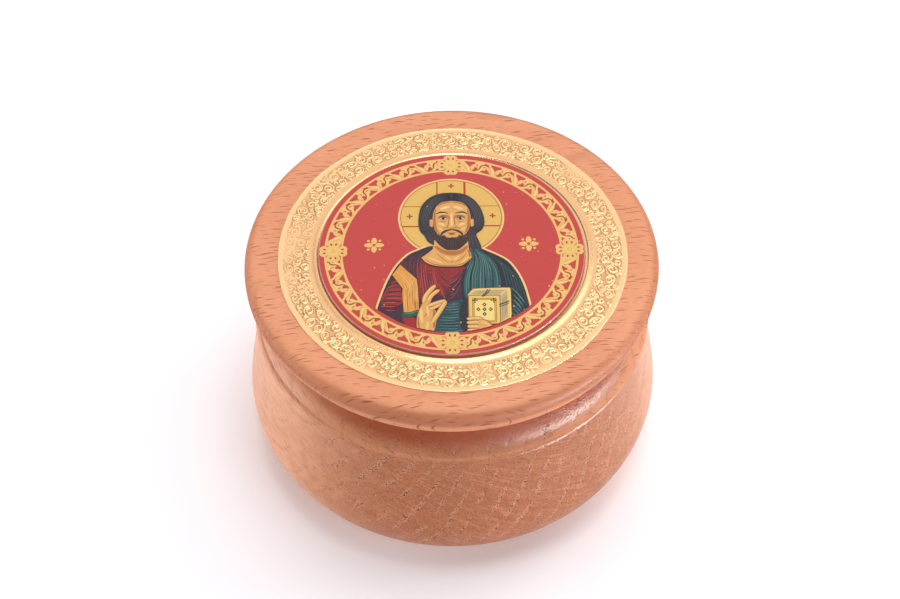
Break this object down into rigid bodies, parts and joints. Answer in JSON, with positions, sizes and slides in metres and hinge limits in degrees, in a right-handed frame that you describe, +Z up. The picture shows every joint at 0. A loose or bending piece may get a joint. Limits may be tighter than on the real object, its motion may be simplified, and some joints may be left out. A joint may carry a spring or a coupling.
{
  "type": "incense box",
  "caption": "Round turned wooden box with a lift-off lid, for grains of incense. The lid carries an embossed gold foil band and a printed round medallion.",
  "frame": {"origin": "centre of the flat base, on the surface that the box stands on", "axes": "+Z up along the turning axis, +X to the right of the picture on the lid, -Y towards the viewer of the picture"},
  "size_m": [0.083, 0.083, 0.0508],
  "materials": {
    "turned_beech": "clear satin lacquer over turned beech, with short dark ray flecks",
    "gold_foil": "bright gold-coloured foil, embossed with fine scrolls",
    "printed_plate": "glossy colour print, red ground with gold ornament"
  },
  "bodies": {
    "bowl": {"bowl": "turned_beech"},
    "lid": {"lid": "turned_beech", "embossed_foil": "gold_foil", "medallion_plate": "printed_plate"}
  },
  "joints": [
    {"name": "lid_lift", "type": "slide", "parent": "bowl", "child": "lid", "axis": [0, 0, 1], "range_m": [0, 0.05]}
  ]
}
